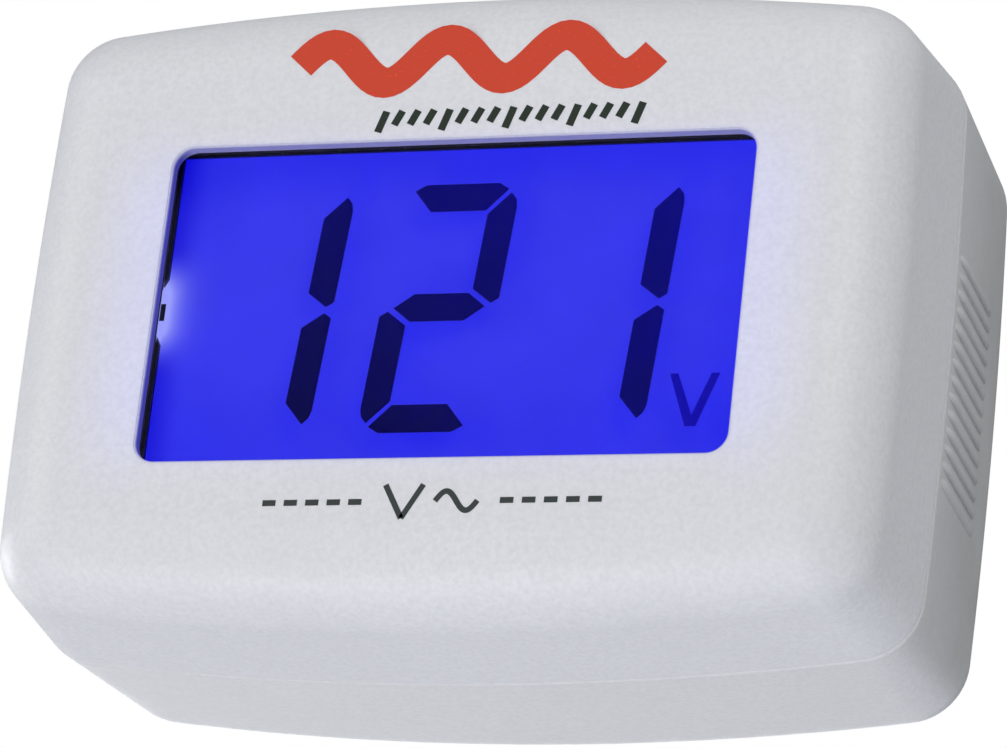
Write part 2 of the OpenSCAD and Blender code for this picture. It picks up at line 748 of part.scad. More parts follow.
front_cover();
rear_cover();
case_screws();
lcd_front_polariser();
lcd_front_glass();
lcd_seal();
lcd_segments();
lcd_unit_mark();
lcd_rear_glass();
lcd_rear_polariser();
diffuser_film();
light_guide();
backlight_led();
reflector_film();
display_holder();
contact_strips();
circuit_board();
board_screws();
solder_joints();
measuring_chip();
dropper_capacitor();
smoothing_capacitor();
rectifier_diodes();
zener_diode();
fuse_resistor();
divider_resistors();
surge_varistor();
trimmer_body();
trimmer_rotor();
live_blade();
neutral_blade();
blade_clamp();
clamp_screws();
live_wire();
neutral_wire();
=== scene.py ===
import json
import math

import bmesh
import bpy
from mathutils import Matrix, Vector


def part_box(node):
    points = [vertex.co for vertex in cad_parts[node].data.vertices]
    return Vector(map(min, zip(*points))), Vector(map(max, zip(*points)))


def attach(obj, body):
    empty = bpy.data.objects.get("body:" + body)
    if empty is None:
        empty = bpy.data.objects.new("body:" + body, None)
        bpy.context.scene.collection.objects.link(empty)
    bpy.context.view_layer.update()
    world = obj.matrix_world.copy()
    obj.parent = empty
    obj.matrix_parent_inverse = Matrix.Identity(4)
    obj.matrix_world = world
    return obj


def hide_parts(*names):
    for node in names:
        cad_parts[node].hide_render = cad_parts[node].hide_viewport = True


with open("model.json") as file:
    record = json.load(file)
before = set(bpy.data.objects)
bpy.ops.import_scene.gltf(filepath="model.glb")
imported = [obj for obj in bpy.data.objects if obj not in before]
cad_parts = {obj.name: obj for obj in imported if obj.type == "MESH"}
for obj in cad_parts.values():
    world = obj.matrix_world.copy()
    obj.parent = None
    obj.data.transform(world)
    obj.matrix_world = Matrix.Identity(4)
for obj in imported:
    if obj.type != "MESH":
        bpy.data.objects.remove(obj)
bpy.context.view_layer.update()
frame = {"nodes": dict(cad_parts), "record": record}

MM = 0.001
HOUSING = "meter"

# Places that the frame gives in metres, and what follows from them in millimetres
front_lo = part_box("front_cover")[0]
glass_lo, glass_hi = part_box("lcd_front_glass")
polariser_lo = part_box("lcd_front_polariser")[0]
guide_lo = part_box("light_guide")[0]
film_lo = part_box("diffuser_film")[0]
led_lo, led_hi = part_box("backlight_led")

DEPTH = -front_lo.y / MM
LCD_X = (glass_lo.x + glass_hi.x) / 2 / MM
LCD_Z = (glass_lo.z + glass_hi.z) / 2 / MM
LIP = (polariser_lo.y - front_lo.y) / MM
LED_Z = (led_lo.z + led_hi.z) / 2 / MM
GUIDE_EDGE = film_lo.x / MM
LED_SPOT_X = guide_lo.x / MM
LED_SLOT_X, LED_SLOT_W, LED_SLOT_H = GUIDE_EDGE - 0.3, 0.28, 1.2

# Shape of the housing, in millimetres, as the frame was designed. Depths run back from the face.
FACE_W, FACE_H = 63.0, 46.2
SPLIT_W, SPLIT_H = 65.0, 47.6
BACK_W, BACK_H = 63.4, 45.8
PARTING = 14.6
TOP_BOW, SIDE_BOW = 1.6, 0.3
CORNER, CORNER_SHARE, LEAST_R = 4.5, 0.75, 0.3
FRONT_ROUND, REAR_ROUND = 5.6, 5.2
FLAT_MARGIN = 0.15                                  # flat strip beside a rounding, so that it shades cleanly
WALL = 2.0
SEAM, SEAM_CUT = 0.25, 0.11
SEAM_LIP, SEAM_LIP_H, SEAM_GAP, SEAM_PLAY = 1.05, 1.0, 0.04, 0.1
WINDOW_W, WINDOW_H, WINDOW_R = 42.4, 23.4, 1.5
WINDOW_EDGE, WINDOW_UP = 0.12, 0.15
POCKET_PLAY, POCKET_R = 0.6, 0.5
FACE_RECESS = 0.03                                  # room for the print inside the frame's size
SCREW_AT = [(x, z) for x in (26.2, -26.2) for z in (13.5, -13.5)]
SCREW_SEAT = 20.0
BOSS_R, TUBE_R, BOSS_END, ROOT = 2.3, 3.3, 17.0, 0.4
WELL_R, WELL_MOUTH_R, WELL_MOUTH = 2.4, 2.75, 0.3
BLADE_SPACING, BLADE_W, BLADE_T = 12.7, 6.35, 1.5
SLOT_GAP, SLOT_MOUTH, SLOT_FLARE = 0.1, 0.25, 0.3
CUT_PAST = 0.05                                     # how far a cutter reaches out of the rear face
RIBS, RIB_PITCH, RIB_Z = 14, 1.27, -0.7
RIB_START, RIB_END, RIB_RISE, RIB_HALF = 15.4, 25.8, 0.3, 0.38
RIB_ROOT, RIB_SINK, RIB_TAPER = 0.5, 0.02, 3.2
RIB_STEPS, RIB_ARC = 16, 8


def link_object(name, data):
    made = bpy.data.objects.new(name, data)
    bpy.context.scene.collection.objects.link(made)
    return made


# ---- Camera: the photograph's viewing angle, in degrees and millimetres ----

CAM_YAW, CAM_PITCH, CAM_ROLL = 20.8, -21.17, 6.6
CAM_DISTANCE = 390.15
CAM_RIGHT, CAM_UP = 4.77, -6.22
CAM_LENS, CAM_SENSOR = 205.4, 36.0


def way_to(azimuth, elevation):
    """The direction to a place round the object: azimuth 0 is in front of the face, positive to its right."""
    a, e = math.radians(azimuth), math.radians(elevation)
    return Vector((math.sin(a) * math.cos(e), -math.cos(a) * math.cos(e), math.sin(e)))


def make_camera():
    back = way_to(CAM_YAW, CAM_PITCH)
    right = (-back).cross(Vector((0, 0, 1))).normalized()
    up = right.cross(-back)
    roll = math.radians(CAM_ROLL)
    turned_right = right * math.cos(roll) + up * math.sin(roll)
    turned_up = up * math.cos(roll) - right * math.sin(roll)
    face = Vector((0, -DEPTH, 0))
    place = face + back * CAM_DISTANCE + turned_right * CAM_RIGHT + turned_up * CAM_UP
    data = bpy.data.cameras.new("camera")
    data.lens = CAM_LENS
    data.sensor_width = CAM_SENSOR
    data.clip_start, data.clip_end = 0.01, 50.0
    camera = link_object("camera", data)
    axes = Matrix((turned_right, turned_up, back)).transposed().to_4x4()
    camera.matrix_world = Matrix.Translation(place * MM) @ axes
    bpy.context.scene.camera = camera


make_camera()


# ---- Node-built materials ----

class Look:
    """A material whose Principled shader is fed by nodes made through this class."""

    def __init__(self, name):
        self.material = bpy.data.materials.new(name)
        self.material.use_nodes = True
        self.tree = self.material.node_tree
        self.shader = self.tree.nodes["Principled BSDF"]
        self.output = self.tree.nodes["Material Output"]
        self.place = None

    def node(self, kind, **settings):
        made = self.tree.nodes.new(kind)
        for key, value in settings.items():
            setattr(made, key, value)
        return made

    def feed(self, socket, value):
        if isinstance(value, bpy.types.NodeSocket):
            self.tree.links.new(value, socket)
        else:
            socket.default_value = value

    def coordinates(self):
        if self.place is None:
            self.place = self.node("ShaderNodeTexCoord").outputs["Object"]
        return self.place

    def axes(self):
        split = self.node("ShaderNodeSeparateXYZ")
        self.feed(split.inputs[0], self.coordinates())
        return split.outputs[:3]

    def math(self, operation, *values, clamp=False):
        made = self.node("ShaderNodeMath", operation=operation, use_clamp=clamp)
        for socket, value in zip(made.inputs, values):
            self.feed(socket, value)
        return made.outputs[0]

    def times(self, a, b):
        return self.math("MULTIPLY", a, b)

    def apart(self, value, middle):
        """How far value is from middle, either way."""
        return self.math("ABSOLUTE", self.math("SUBTRACT", value, middle))

    def length(self, a, b):
        return self.math("SQRT", self.math("ADD", self.times(a, a), self.times(b, b)))

    def noise(self, scale, detail=3.0, roughness=0.55, stretch=(1, 1, 1)):
        mapping = self.node("ShaderNodeMapping")
        self.feed(mapping.inputs["Vector"], self.coordinates())
        mapping.inputs["Scale"].default_value = stretch
        made = self.node("ShaderNodeTexNoise")
        self.feed(made.inputs["Vector"], mapping.outputs[0])
        made.inputs["Scale"].default_value = scale
        made.inputs["Detail"].default_value = detail
        made.inputs["Roughness"].default_value = roughness
        return made.outputs["Fac"]

    def spread(self, value, low, high, start=0.0, stop=1.0, smooth=False):
        """value, carried from the range start..stop to low..high."""
        made = self.node("ShaderNodeMapRange",
                         interpolation_type="SMOOTHSTEP" if smooth else "LINEAR")
        for socket, number in zip(made.inputs, (value, start, stop, low, high)):
            self.feed(socket, number)
        return made.outputs[0]

    def mix(self, factor, a, b):
        made = self.node("ShaderNodeMix", data_type="RGBA", blend_type="MIX")
        self.feed(made.inputs[0], factor)
        self.feed(made.inputs[6], a)
        self.feed(made.inputs[7], b)
        return made.outputs[2]

    def bump(self, height, strength, distance, under=None):
        made = self.node("ShaderNodeBump")
        made.inputs["Strength"].default_value = strength
        made.inputs["Distance"].default_value = distance
        self.feed(made.inputs["Height"], height)
        if under is not None:
            self.feed(made.inputs["Normal"], under)
        return made.outputs[0]


def rgb(r, g, b):
    return (r, g, b, 1.0)


def shade(colour, factor):
    return tuple(c * factor for c in colour[:3]) + (1.0,)


def beyond(look, value, limit):
    """How far value is over limit, or 0."""
    return look.math("MAXIMUM", look.math("SUBTRACT", value, limit), 0.0)


def box_distance(look, cx, cz, half_w, half_h, r=0.0):
    """How far a point is outside a rounded rectangle on the face, in millimetres, as a node output."""
    x, _, z = look.axes()
    dx = beyond(look, look.apart(x, cx * MM), (half_w - r) * MM)
    dz = beyond(look, look.apart(z, cz * MM), (half_h - r) * MM)
    return beyond(look, look.math("DIVIDE", look.length(dx, dz), MM), r)


def upright_distance(look, cx, cz, half):
    """How far a point is from an upright line of half length half on the face, likewise."""
    x, _, z = look.axes()
    dx = look.apart(x, cx * MM)
    dz = beyond(look, look.apart(z, cz * MM), half * MM)
    return look.math("DIVIDE", look.length(dx, dz), MM)


def fade(look, distance, reach):
    """1 at distance 0, falling to 1/e at reach."""
    return look.math("POWER", math.e, look.math("DIVIDE", distance, -reach))


def opening_gap(look):
    """How far a point of the front shell is from the display opening, in millimetres."""
    return box_distance(look, LCD_X, LCD_Z + WINDOW_UP, WINDOW_W / 2, WINDOW_H / 2, WINDOW_R)


def painted_opening_shade(look, tint):
    """Painted shade: darkens the opening's walls, the left one most, and a hair line round its edge."""
    x, y, _ = look.axes()
    gap = opening_gap(look)
    wall = look.times(look.spread(gap, 1.0, 0.0, 0.0, WINDOW_EDGE),
                      look.spread(y, 0.0, 1.0, -(DEPTH - 0.05) * MM, -(DEPTH - 0.4) * MM))
    left_edge = LCD_X - WINDOW_W / 2
    left = look.spread(x, 0.9, 0.5, (left_edge + 0.2) * MM, (left_edge + 1.2) * MM)
    line = look.times(fade(look, gap, 0.09), 0.55)
    painted_shade = look.math("MAXIMUM", look.times(wall, left), line)
    # painted shade: dark violet over the opening's walls and along its edge
    return look.mix(painted_shade, tint, rgb(0.03, 0.02, 0.12))


def painted_rear_shade(look, tint, cloud):
    """Painted shade on the sides, mottled in clouds, and darker towards the back."""
    x, y, _ = look.axes()
    at_sides = look.spread(look.math("ABSOLUTE", x), 0.0, 1.0, 30.0 * MM, 31.8 * MM, smooth=True)
    back = look.spread(y, 0.3, 1.0, -(DEPTH - PARTING) * MM, -REAR_ROUND * MM)
    side_shade = look.times(look.times(at_sides, back), look.spread(cloud, 0.8, 1.2, 0.35, 0.65))
    # painted shade: the sides go towards this warm grey, most at the back
    return look.mix(look.times(side_shade, 0.85), tint, rgb(0.465, 0.46, 0.435))


def backlight_leak(look):
    """Blue light that seeps through the face beside the opening and out round its rim."""
    x, y, z = look.axes()
    gap = opening_gap(look)
    beside = look.spread(look.apart(x, LCD_X * MM), 0.0, 0.13,
                         (WINDOW_W / 2 - 1) * MM, (WINDOW_W / 2 + 1) * MM, smooth=True)
    level = look.spread(look.apart(z, LCD_Z * MM), 1.0, 0.1, 6 * MM, 15 * MM, smooth=True)
    side = look.times(look.spread(gap, 1.0, 0.0, 1.0, 6.5, smooth=True), look.times(beside, level))
    near = look.times(fade(look, gap, 1.2), 0.05)
    rim = look.times(fade(look, gap, 0.22), 0.10)
    on_face = look.spread(y, 1.0, 0.0, -(DEPTH - 0.5) * MM, -(DEPTH - 3.0) * MM)
    glow = look.math("ADD", look.math("ADD", side, near), rim)
    look.shader.inputs["Emission Color"].default_value = rgb(0.02, 0.03, 1.0)
    look.feed(look.shader.inputs["Emission Strength"], look.times(glow, on_face))


def moulded_shell(name, colour, front):
    """White ABS from a spark-eroded mould: fine grain and faint flow clouding, with painted shade on each
    half, and on the front half the backlight's blue glow.
    """
    look = Look(name)
    cloud = look.noise(70, detail=4)
    speckle = look.noise(2600, detail=2)
    tint = look.mix(look.spread(cloud, 0.0, 1.0, 0.35, 0.65), shade(colour, 0.985), shade(colour, 1.015))
    tint = look.mix(look.spread(speckle, 0.0, 0.7, 0.35, 0.7), tint, shade(colour, 0.9))
    # painted shade: round the opening on the front half, on the sides towards the back on the rear half
    tint = painted_opening_shade(look, tint) if front else painted_rear_shade(look, tint, cloud)
    look.feed(look.shader.inputs["Base Color"], tint)
    look.feed(look.shader.inputs["Roughness"], look.spread(look.noise(900), 0.36, 0.5, 0.3, 0.7))
    look.shader.inputs["IOR"].default_value = 1.5
    grain = look.bump(look.noise(3400, detail=3, roughness=0.6), 0.45, 0.00006)
    grain = look.bump(look.noise(1300, detail=2), 0.25, 0.00008, grain)
    look.feed(look.shader.inputs["Normal"], grain)
    if front:
        backlight_leak(look)
    return look.material


def moulded(name, colour, rough=0.45, grain=1800, depth=0.00003):
    """Any other moulded, dipped or lacquered piece."""
    look = Look(name)
    cloud = look.noise(grain / 6, detail=4)
    look.feed(look.shader.inputs["Base Color"], look.mix(cloud, shade(colour, 0.85), shade(colour, 1.1)))
    look.feed(look.shader.inputs["Roughness"], look.spread(cloud, rough - 0.08, rough + 0.1, 0.3, 0.7))
    look.feed(look.shader.inputs["Normal"], look.bump(look.noise(grain), 0.3, depth))
    return look.material


def metal(name, colour, rough=0.28, stretch=(1, 1, 1), tarnish=0.25):
    """Plated or bare metal with fine brushing and patchy tarnish."""
    look = Look(name)
    brushed = look.noise(5200, detail=2, stretch=stretch)
    patches = look.noise(260, detail=5)
    look.feed(look.shader.inputs["Base Color"],
              look.mix(look.spread(patches, 0.0, tarnish, 0.45, 0.7), colour, shade(colour, 0.55)))
    look.shader.inputs["Metallic"].default_value = 1.0
    look.feed(look.shader.inputs["Roughness"], look.spread(brushed, rough - 0.07, rough + 0.12, 0.3, 0.7))
    look.feed(look.shader.inputs["Normal"], look.bump(brushed, 0.25, 0.00003))
    return look.material


def clear(name, colour, ior):
    """Glass or film: it refracts what is seen through it, and lets lamplight through to what is behind."""
    look = Look(name)
    smudge = look.noise(420, detail=4)
    look.feed(look.shader.inputs["Base Color"], look.mix(smudge, colour, shade(colour, 0.985)))
    look.shader.inputs["Roughness"].default_value = 0.0
    look.shader.inputs["Transmission Weight"].default_value = 1.0
    look.shader.inputs["IOR"].default_value = ior
    through = look.node("ShaderNodeBsdfTransparent")
    through.inputs[0].default_value = colour
    path = look.node("ShaderNodeLightPath")
    both = look.node("ShaderNodeMixShader")
    look.feed(both.inputs[0], path.outputs["Is Shadow Ray"])
    look.feed(both.inputs[1], look.shader.outputs[0])
    look.feed(both.inputs[2], through.outputs[0])
    look.feed(look.output.inputs["Surface"], both.outputs[0])
    return look.material


BACKLIGHT = (0.0185, 0.0205, 0.83)
SPOT, SPOT_MOST, SPOT_FAR = 1.9, 0.31, 0.016
SPOT_GAIN = (1.0, 1.08, 0.5)
EDGE_DROP = (0.8, 0.85, 0.16)


def lit(name, base, slotted=False):
    """The blue backlight: even blue, a hot spot where the LED shines in, and a darker left edge."""
    look = Look(name)
    cloud = look.noise(160, detail=4)
    look.feed(look.shader.inputs["Base Color"], look.mix(cloud, shade(base, 0.9), shade(base, 1.1)))
    look.shader.inputs["Roughness"].default_value = 0.6
    look.shader.inputs["Specular IOR Level"].default_value = 0.05
    away = upright_distance(look, LED_SPOT_X, LED_Z, 1.0)
    near = look.math("MINIMUM", look.times(fade(look, away, 0.75), SPOT), SPOT_MOST)
    spot_light = look.math("ADD", near, look.times(fade(look, away, 6.0), SPOT_FAR))
    x, _, z = look.axes()
    edge = look.spread(x, 1.0, 0.0, GUIDE_EDGE * MM, (GUIDE_EDGE + 2.4) * MM, smooth=True)
    height = look.apart(z, LED_Z * MM)
    edge = look.times(edge, look.spread(height, 0.0, 1.0, 2.0 * MM, 5.0 * MM, smooth=True))
    even = look.spread(cloud, 0.97, 1.03, 0.35, 0.65)
    colour = look.node("ShaderNodeCombineColor")
    for socket, level, gain, drop in zip(colour.inputs, BACKLIGHT, SPOT_GAIN, EDGE_DROP):
        total = look.math("ADD", look.times(even, level), look.times(spot_light, gain))
        total = look.times(total, look.math("SUBTRACT", 1.0, look.times(edge, drop)))
        if slotted:
            beside = box_distance(look, LED_SLOT_X, LED_Z, LED_SLOT_W / 2, LED_SLOT_H / 2)
            total = look.times(total, look.spread(beside, 0.02, 1.0, 0.02, 0.06))
        look.feed(socket, total)
    look.feed(look.shader.inputs["Emission Color"], colour.outputs[0])
    look.shader.inputs["Emission Strength"].default_value = 1.0
    return look.material


def segment(name, deep, pale):
    """Switched-on liquid crystal: nearly black, with the backlight leaking through unevenly."""
    look = Look(name)
    look.shader.inputs["Base Color"].default_value = rgb(0.001, 0.0005, 0.003)
    look.shader.inputs["Roughness"].default_value = 0.4
    look.shader.inputs["Specular IOR Level"].default_value = 0.05
    x, _, z = look.axes()
    across = look.spread(x, 0.0, 0.6, -12 * MM, 17 * MM)
    upwards = look.spread(z, 0.0, 0.4, -10 * MM, 6 * MM)
    cloud = look.spread(look.noise(300), -0.1, 0.1, 0.3, 0.7)
    share = look.math("ADD", look.math("ADD", across, upwards), cloud, clamp=True)
    look.feed(look.shader.inputs["Emission Color"], look.mix(share, deep, pale))
    look.shader.inputs["Emission Strength"].default_value = 1.0
    return look.material


def board_mask(name):
    """Green solder mask over copper: a darker weave with faint tracks."""
    look = Look(name)
    weave = look.noise(1500, detail=2, stretch=(1, 1, 4))
    brick = look.node("ShaderNodeTexBrick")
    look.feed(brick.inputs["Vector"], look.coordinates())
    brick.inputs["Scale"].default_value = 220
    brick.inputs["Color1"].default_value = rgb(0.02, 0.17, 0.07)
    brick.inputs["Color2"].default_value = rgb(0.03, 0.22, 0.09)
    brick.inputs["Mortar"].default_value = rgb(0.05, 0.3, 0.13)
    look.feed(look.shader.inputs["Base Color"],
              look.mix(look.spread(weave, 0.0, 0.4, 0.3, 0.7), brick.outputs[0], rgb(0.01, 0.12, 0.05)))
    look.shader.inputs["Roughness"].default_value = 0.32
    look.feed(look.shader.inputs["Normal"], look.bump(weave, 0.2, 0.00003))
    return look.material


def ink(name, colour):
    """Pad-printed ink: slightly uneven cover with pinholes of the shell's grain."""
    look = Look(name)
    grain = look.noise(3800, detail=3)
    worn = look.spread(grain, 0.0, 1.0, 0.62, 0.72)
    look.feed(look.shader.inputs["Base Color"], look.mix(worn, colour, shade(colour, 1.25)))
    look.shader.inputs["Roughness"].default_value = 0.5
    look.feed(look.shader.inputs["Normal"], look.bump(grain, 0.3, 0.00004))
    return look.material


looks = {
    "shell_white": moulded_shell("front_shell", rgb(0.80, 0.80, 0.81), front=True),
    "shell_grey": moulded_shell("rear_shell", rgb(0.785, 0.785, 0.785), front=False),
    "screw_steel": metal("plated_screw", rgb(0.62, 0.62, 0.63)),
    "polariser": clear("polariser_film", rgb(0.98, 0.98, 1.0), 1.08),
    "display_glass": clear("display_glass", rgb(0.99, 0.99, 1.0), 1.02),
    "glass_seal": moulded("seal_line", rgb(0.03, 0.03, 0.04)),
    "segment_dark": segment("lit_segment", rgb(0.0, 0.0, 0.042), rgb(0.0, 0.0, 0.2)),
    "segment_faint": segment("unit_segment", rgb(0.003, 0.0015, 0.34), rgb(0.003, 0.0015, 0.42)),
    "diffuser": lit("diffuser_lit", rgb(0.036, 0.036, 0.036)),
    "light_guide_clear": lit("guide_lit", rgb(0.03, 0.03, 0.03), slotted=True),
    "led_lens": moulded("led_resin", rgb(0.02, 0.02, 0.06), 0.2),
    "reflector_white": moulded("reflector", rgb(0.85, 0.85, 0.88), 0.3),
    "holder_black": moulded("holder", rgb(0.02, 0.02, 0.025), 0.5),
    "zebra_rubber": moulded("zebra", rgb(0.03, 0.03, 0.032), 0.7, 6000),
    "board_green": board_mask("solder_mask"),
    "solder": metal("solder_alloy", rgb(0.7, 0.71, 0.73), 0.22),
    "chip_black": moulded("chip_epoxy", rgb(0.02, 0.02, 0.022), 0.55),
    "film_cap_yellow": moulded("film_case", rgb(0.7, 0.42, 0.03), 0.4),
    "electrolytic_sleeve": moulded("shrink_sleeve", rgb(0.02, 0.022, 0.06), 0.25),
    "diode_black": moulded("diode_epoxy", rgb(0.02, 0.02, 0.022), 0.4),
    "zener_glass": moulded("zener_body", rgb(0.45, 0.1, 0.02), 0.15),
    "fuse_green": moulded("fuse_lacquer", rgb(0.07, 0.2, 0.12), 0.4),
    "resistor_blue": moulded("resistor_lacquer", rgb(0.08, 0.22, 0.45), 0.35),
    "varistor_blue": moulded("varistor_epoxy", rgb(0.01, 0.05, 0.3), 0.3),
    "trimmer_blue": moulded("trimmer_shell", rgb(0.01, 0.06, 0.35), 0.4),
    "trimmer_cream": moulded("trimmer_slot", rgb(0.75, 0.7, 0.5), 0.45),
    "blade_brass": metal("blade_plate", rgb(0.83, 0.78, 0.68), 0.24, (1, 0.05, 1), 0.15),
    "clamp_white": moulded("clamp_nylon", rgb(0.7, 0.7, 0.66), 0.5),
    "wire_black": moulded("wire_live", rgb(0.015, 0.015, 0.015), 0.45),
    "wire_white": moulded("wire_neutral", rgb(0.7, 0.7, 0.68), 0.45),
}


def dress_cad_nodes():
    for entry in frame["record"]["subparts"]:
        data = frame["nodes"][entry["node"]].data
        data.materials.clear()
        data.materials.append(looks[entry["material_slot"]])


dress_cad_nodes()


# ---- Mesh building ----

ARC, SIDE, BOW = 12, 10, 20                         # steps along a corner, a side and a bowed top
PEG_SIDES = 40


def mix(a, b, t):
    return a + (b - a) * t


def drafted(u, face, split, back):
    """Half of a size at depth u, from its values at the face, the parting line and the rear."""
    if u < PARTING:
        return mix(face, split, u / PARTING) / 2
    return mix(split, back, (u - PARTING) / (DEPTH - PARTING)) / 2


def half_w(u):
    return drafted(u, FACE_W, SPLIT_W, BACK_W)


def half_h(u):
    return drafted(u, FACE_H, SPLIT_H, BACK_H)


def spot(x, u, z):
    """A point at depth u, in metres, from millimetres."""
    return Vector((x, u - DEPTH, z)) * MM


def outline(a, b, r, side_bow, top_bow):
    """A bowed rectangle with corners at (a, b), set out by r, as points round it from its right middle."""
    quarter = []
    for i in range(SIDE):
        t = i / SIDE
        n = Vector((1, 2 * side_bow * t / b)).normalized()
        quarter.append(Vector((a + side_bow * (1 - t * t), b * t)) + n * r)
    low, high = math.atan(2 * side_bow / b), math.pi / 2 - math.atan(2 * top_bow / a)
    for i in range(ARC + 1):
        g = mix(low, high, i / ARC)
        quarter.append(Vector((a + r * math.cos(g), b + r * math.sin(g))))
    for i in range(BOW - 1, -1, -1):
        t = i / BOW
        n = Vector((2 * top_bow * t / a, 1)).normalized()
        quarter.append(Vector((a * t, b + top_bow * (1 - t * t))) + n * r)
    last = len(quarter) - 1
    return (quarter[:last]
            + [Vector((-p.x, p.y)) for p in quarter[last:0:-1]]
            + [-p for p in quarter[:last]]
            + [Vector((p.x, -p.y)) for p in quarter[last:0:-1]])


def at_depth(points, u, dx=0.0, dz=0.0):
    return [spot(p.x + dx, u, p.y + dz) for p in points]


def ring(u, inset):
    """The housing's outline at depth u, moved in from the drafted surface."""
    r = max(CORNER - CORNER_SHARE * inset, LEAST_R)
    deeper = inset - CORNER + r
    a = half_w(u) - SIDE_BOW - CORNER - deeper
    b = half_h(u) - TOP_BOW - CORNER - deeper
    return at_depth(outline(a, b, r, SIDE_BOW, TOP_BOW), u)


def quarter_turn(steps):
    return [math.pi / 2 * i / steps for i in range(steps + 1)]


def edge_rings(u, inset, r, way, steps):
    """Rings round an edge of radius r from the side wall to the end face, which lies at depth u."""
    return [ring(u + way * r * (1 - math.sin(g)), inset + r * (1 - math.cos(g))) for g in quarter_turn(steps)]


def window_ring(u, grow, w=WINDOW_W, h=WINDOW_H, r=WINDOW_R, up=WINDOW_UP):
    """The display opening's outline at depth u, grown outwards."""
    a, b = w / 2 - r, h / 2 - r
    return at_depth(outline(a, b, r + grow, 0.0, 0.0), u, LCD_X, LCD_Z + up)


def between(ring_a, ring_b, t):
    return [p.lerp(q, t) for p, q in zip(ring_a, ring_b)]


def skin(bm, rings, closed=False, caps=False):
    """Faces through a list of rings with the same number of points each."""
    made = [[bm.verts.new(p) for p in r] for r in rings]
    n = len(made[0])
    pairs = list(zip(made, made[1:])) + ([(made[-1], made[0])] if closed else [])
    for lower, upper in pairs:
        for i in range(n):
            j = (i + 1) % n
            bm.faces.new((lower[i], lower[j], upper[j], upper[i]))
    if caps:
        bm.faces.new(made[0][::-1])
        bm.faces.new(made[-1])


def to_object(name, bm):
    """An object with the bmesh's faces, turned outwards. The bmesh is freed."""
    bmesh.ops.recalc_face_normals(bm, faces=bm.faces)
    data = bpy.data.meshes.new(name)
    bm.to_mesh(data)
    bm.free()
    return link_object(name, data)


def shade_curves(data, sharp=35.0):
    """Smooth shading, but for edges sharper than the angle."""
    data.shade_smooth()
    data.set_sharp_from_angle(angle=math.radians(sharp))


def finish_mesh(name, bm, material, sharp=35.0):
    made = to_object(name, bm)
    shade_curves(made.data, sharp)
    made.data.materials.append(material)
    return made


def peg(bm, at, stations):
    """A closed turned piece along the depth axis, through (depth, radius) stations."""
    turns = [math.tau * i / PEG_SIDES for i in range(PEG_SIDES)]
    rings = [[spot(at[0] + r * math.cos(g), u, at[1] + r * math.sin(g)) for g in turns] for u, r in stations]
    skin(bm, rings, caps=True)


# ---- Housing ----

def build_front_cover():
    """One closed skin: in through the opening, over the face, down the side and back up the inside."""
    bm = bmesh.new()
    rings = [window_ring(LIP, 0.0), window_ring(WINDOW_EDGE + 0.2, 0.0)]
    rings += [window_ring(FACE_RECESS + WINDOW_EDGE * math.sin(g), WINDOW_EDGE * math.cos(g))
              for g in quarter_turn(5)[::-1]]
    opening = window_ring(FACE_RECESS, WINDOW_EDGE + FLAT_MARGIN)
    flat = ring(FACE_RECESS, FRONT_ROUND + FLAT_MARGIN)
    rings += [between(opening, flat, t) for t in (0.0, 0.25, 0.5, 0.75, 1.0)]
    rings += edge_rings(FACE_RECESS, 0.0, FRONT_ROUND, 1, 20)[::-1]
    rings += [ring(mix(FRONT_ROUND, PARTING - SEAM, t), 0.0) for t in (0.03, 0.3, 0.65, 0.98, 1.0)]
    rings += [ring(PARTING - SEAM * 0.3, SEAM_CUT * 0.3), ring(PARTING, SEAM_CUT), ring(PARTING, SEAM_LIP),
              ring(PARTING + SEAM_LIP_H, SEAM_LIP), ring(PARTING + SEAM_LIP_H, WALL), ring(PARTING, WALL)]
    rings += edge_rings(WALL, WALL, FRONT_ROUND - WALL, 1, 8)
    pocket_w = (glass_hi.x - glass_lo.x) / MM + POCKET_PLAY
    pocket_h = (glass_hi.z - glass_lo.z) / MM + POCKET_PLAY
    rings += [window_ring(u, 0.0, pocket_w, pocket_h, POCKET_R, 0.0) for u in (WALL, LIP)]
    skin(bm, rings, closed=True)
    for at in SCREW_AT:
        peg(bm, at, [(WALL - ROOT, BOSS_R), (BOSS_END, BOSS_R)])
    return finish_mesh("front_shell_piece", bm, looks["shell_white"])


def cutter(name, build):
    bm = bmesh.new()
    build(bm)
    return to_object(name, bm)


def cut_wells(bm):
    for at in SCREW_AT:
        peg(bm, at, [(SCREW_SEAT, WELL_R), (DEPTH - WELL_MOUTH, WELL_R), (DEPTH + CUT_PAST, WELL_MOUTH_R)])


def cut_slots(bm):
    """The blades' slots through the rear wall, flared at their mouths."""
    half_t, half_b = BLADE_T / 2 + SLOT_GAP, BLADE_W / 2 + SLOT_GAP
    stations = ((DEPTH - WALL - 1, 0.0), (DEPTH - SLOT_MOUTH, 0.0), (DEPTH + CUT_PAST, SLOT_FLARE))
    for middle in (-BLADE_SPACING / 2, BLADE_SPACING / 2):
        rings = [[spot(middle + right * (half_t + grow), u, up * (half_b + grow))
                  for right, up in ((1, -1), (1, 1), (-1, 1), (-1, -1))] for u, grow in stations]
        skin(bm, rings, caps=True)


def side_x(u, z):
    """Half width of the drafted side at depth u and height z."""
    b = half_h(u) - TOP_BOW - CORNER
    return half_w(u) - SIDE_BOW * min(abs(z) / b, 1.0) ** 2


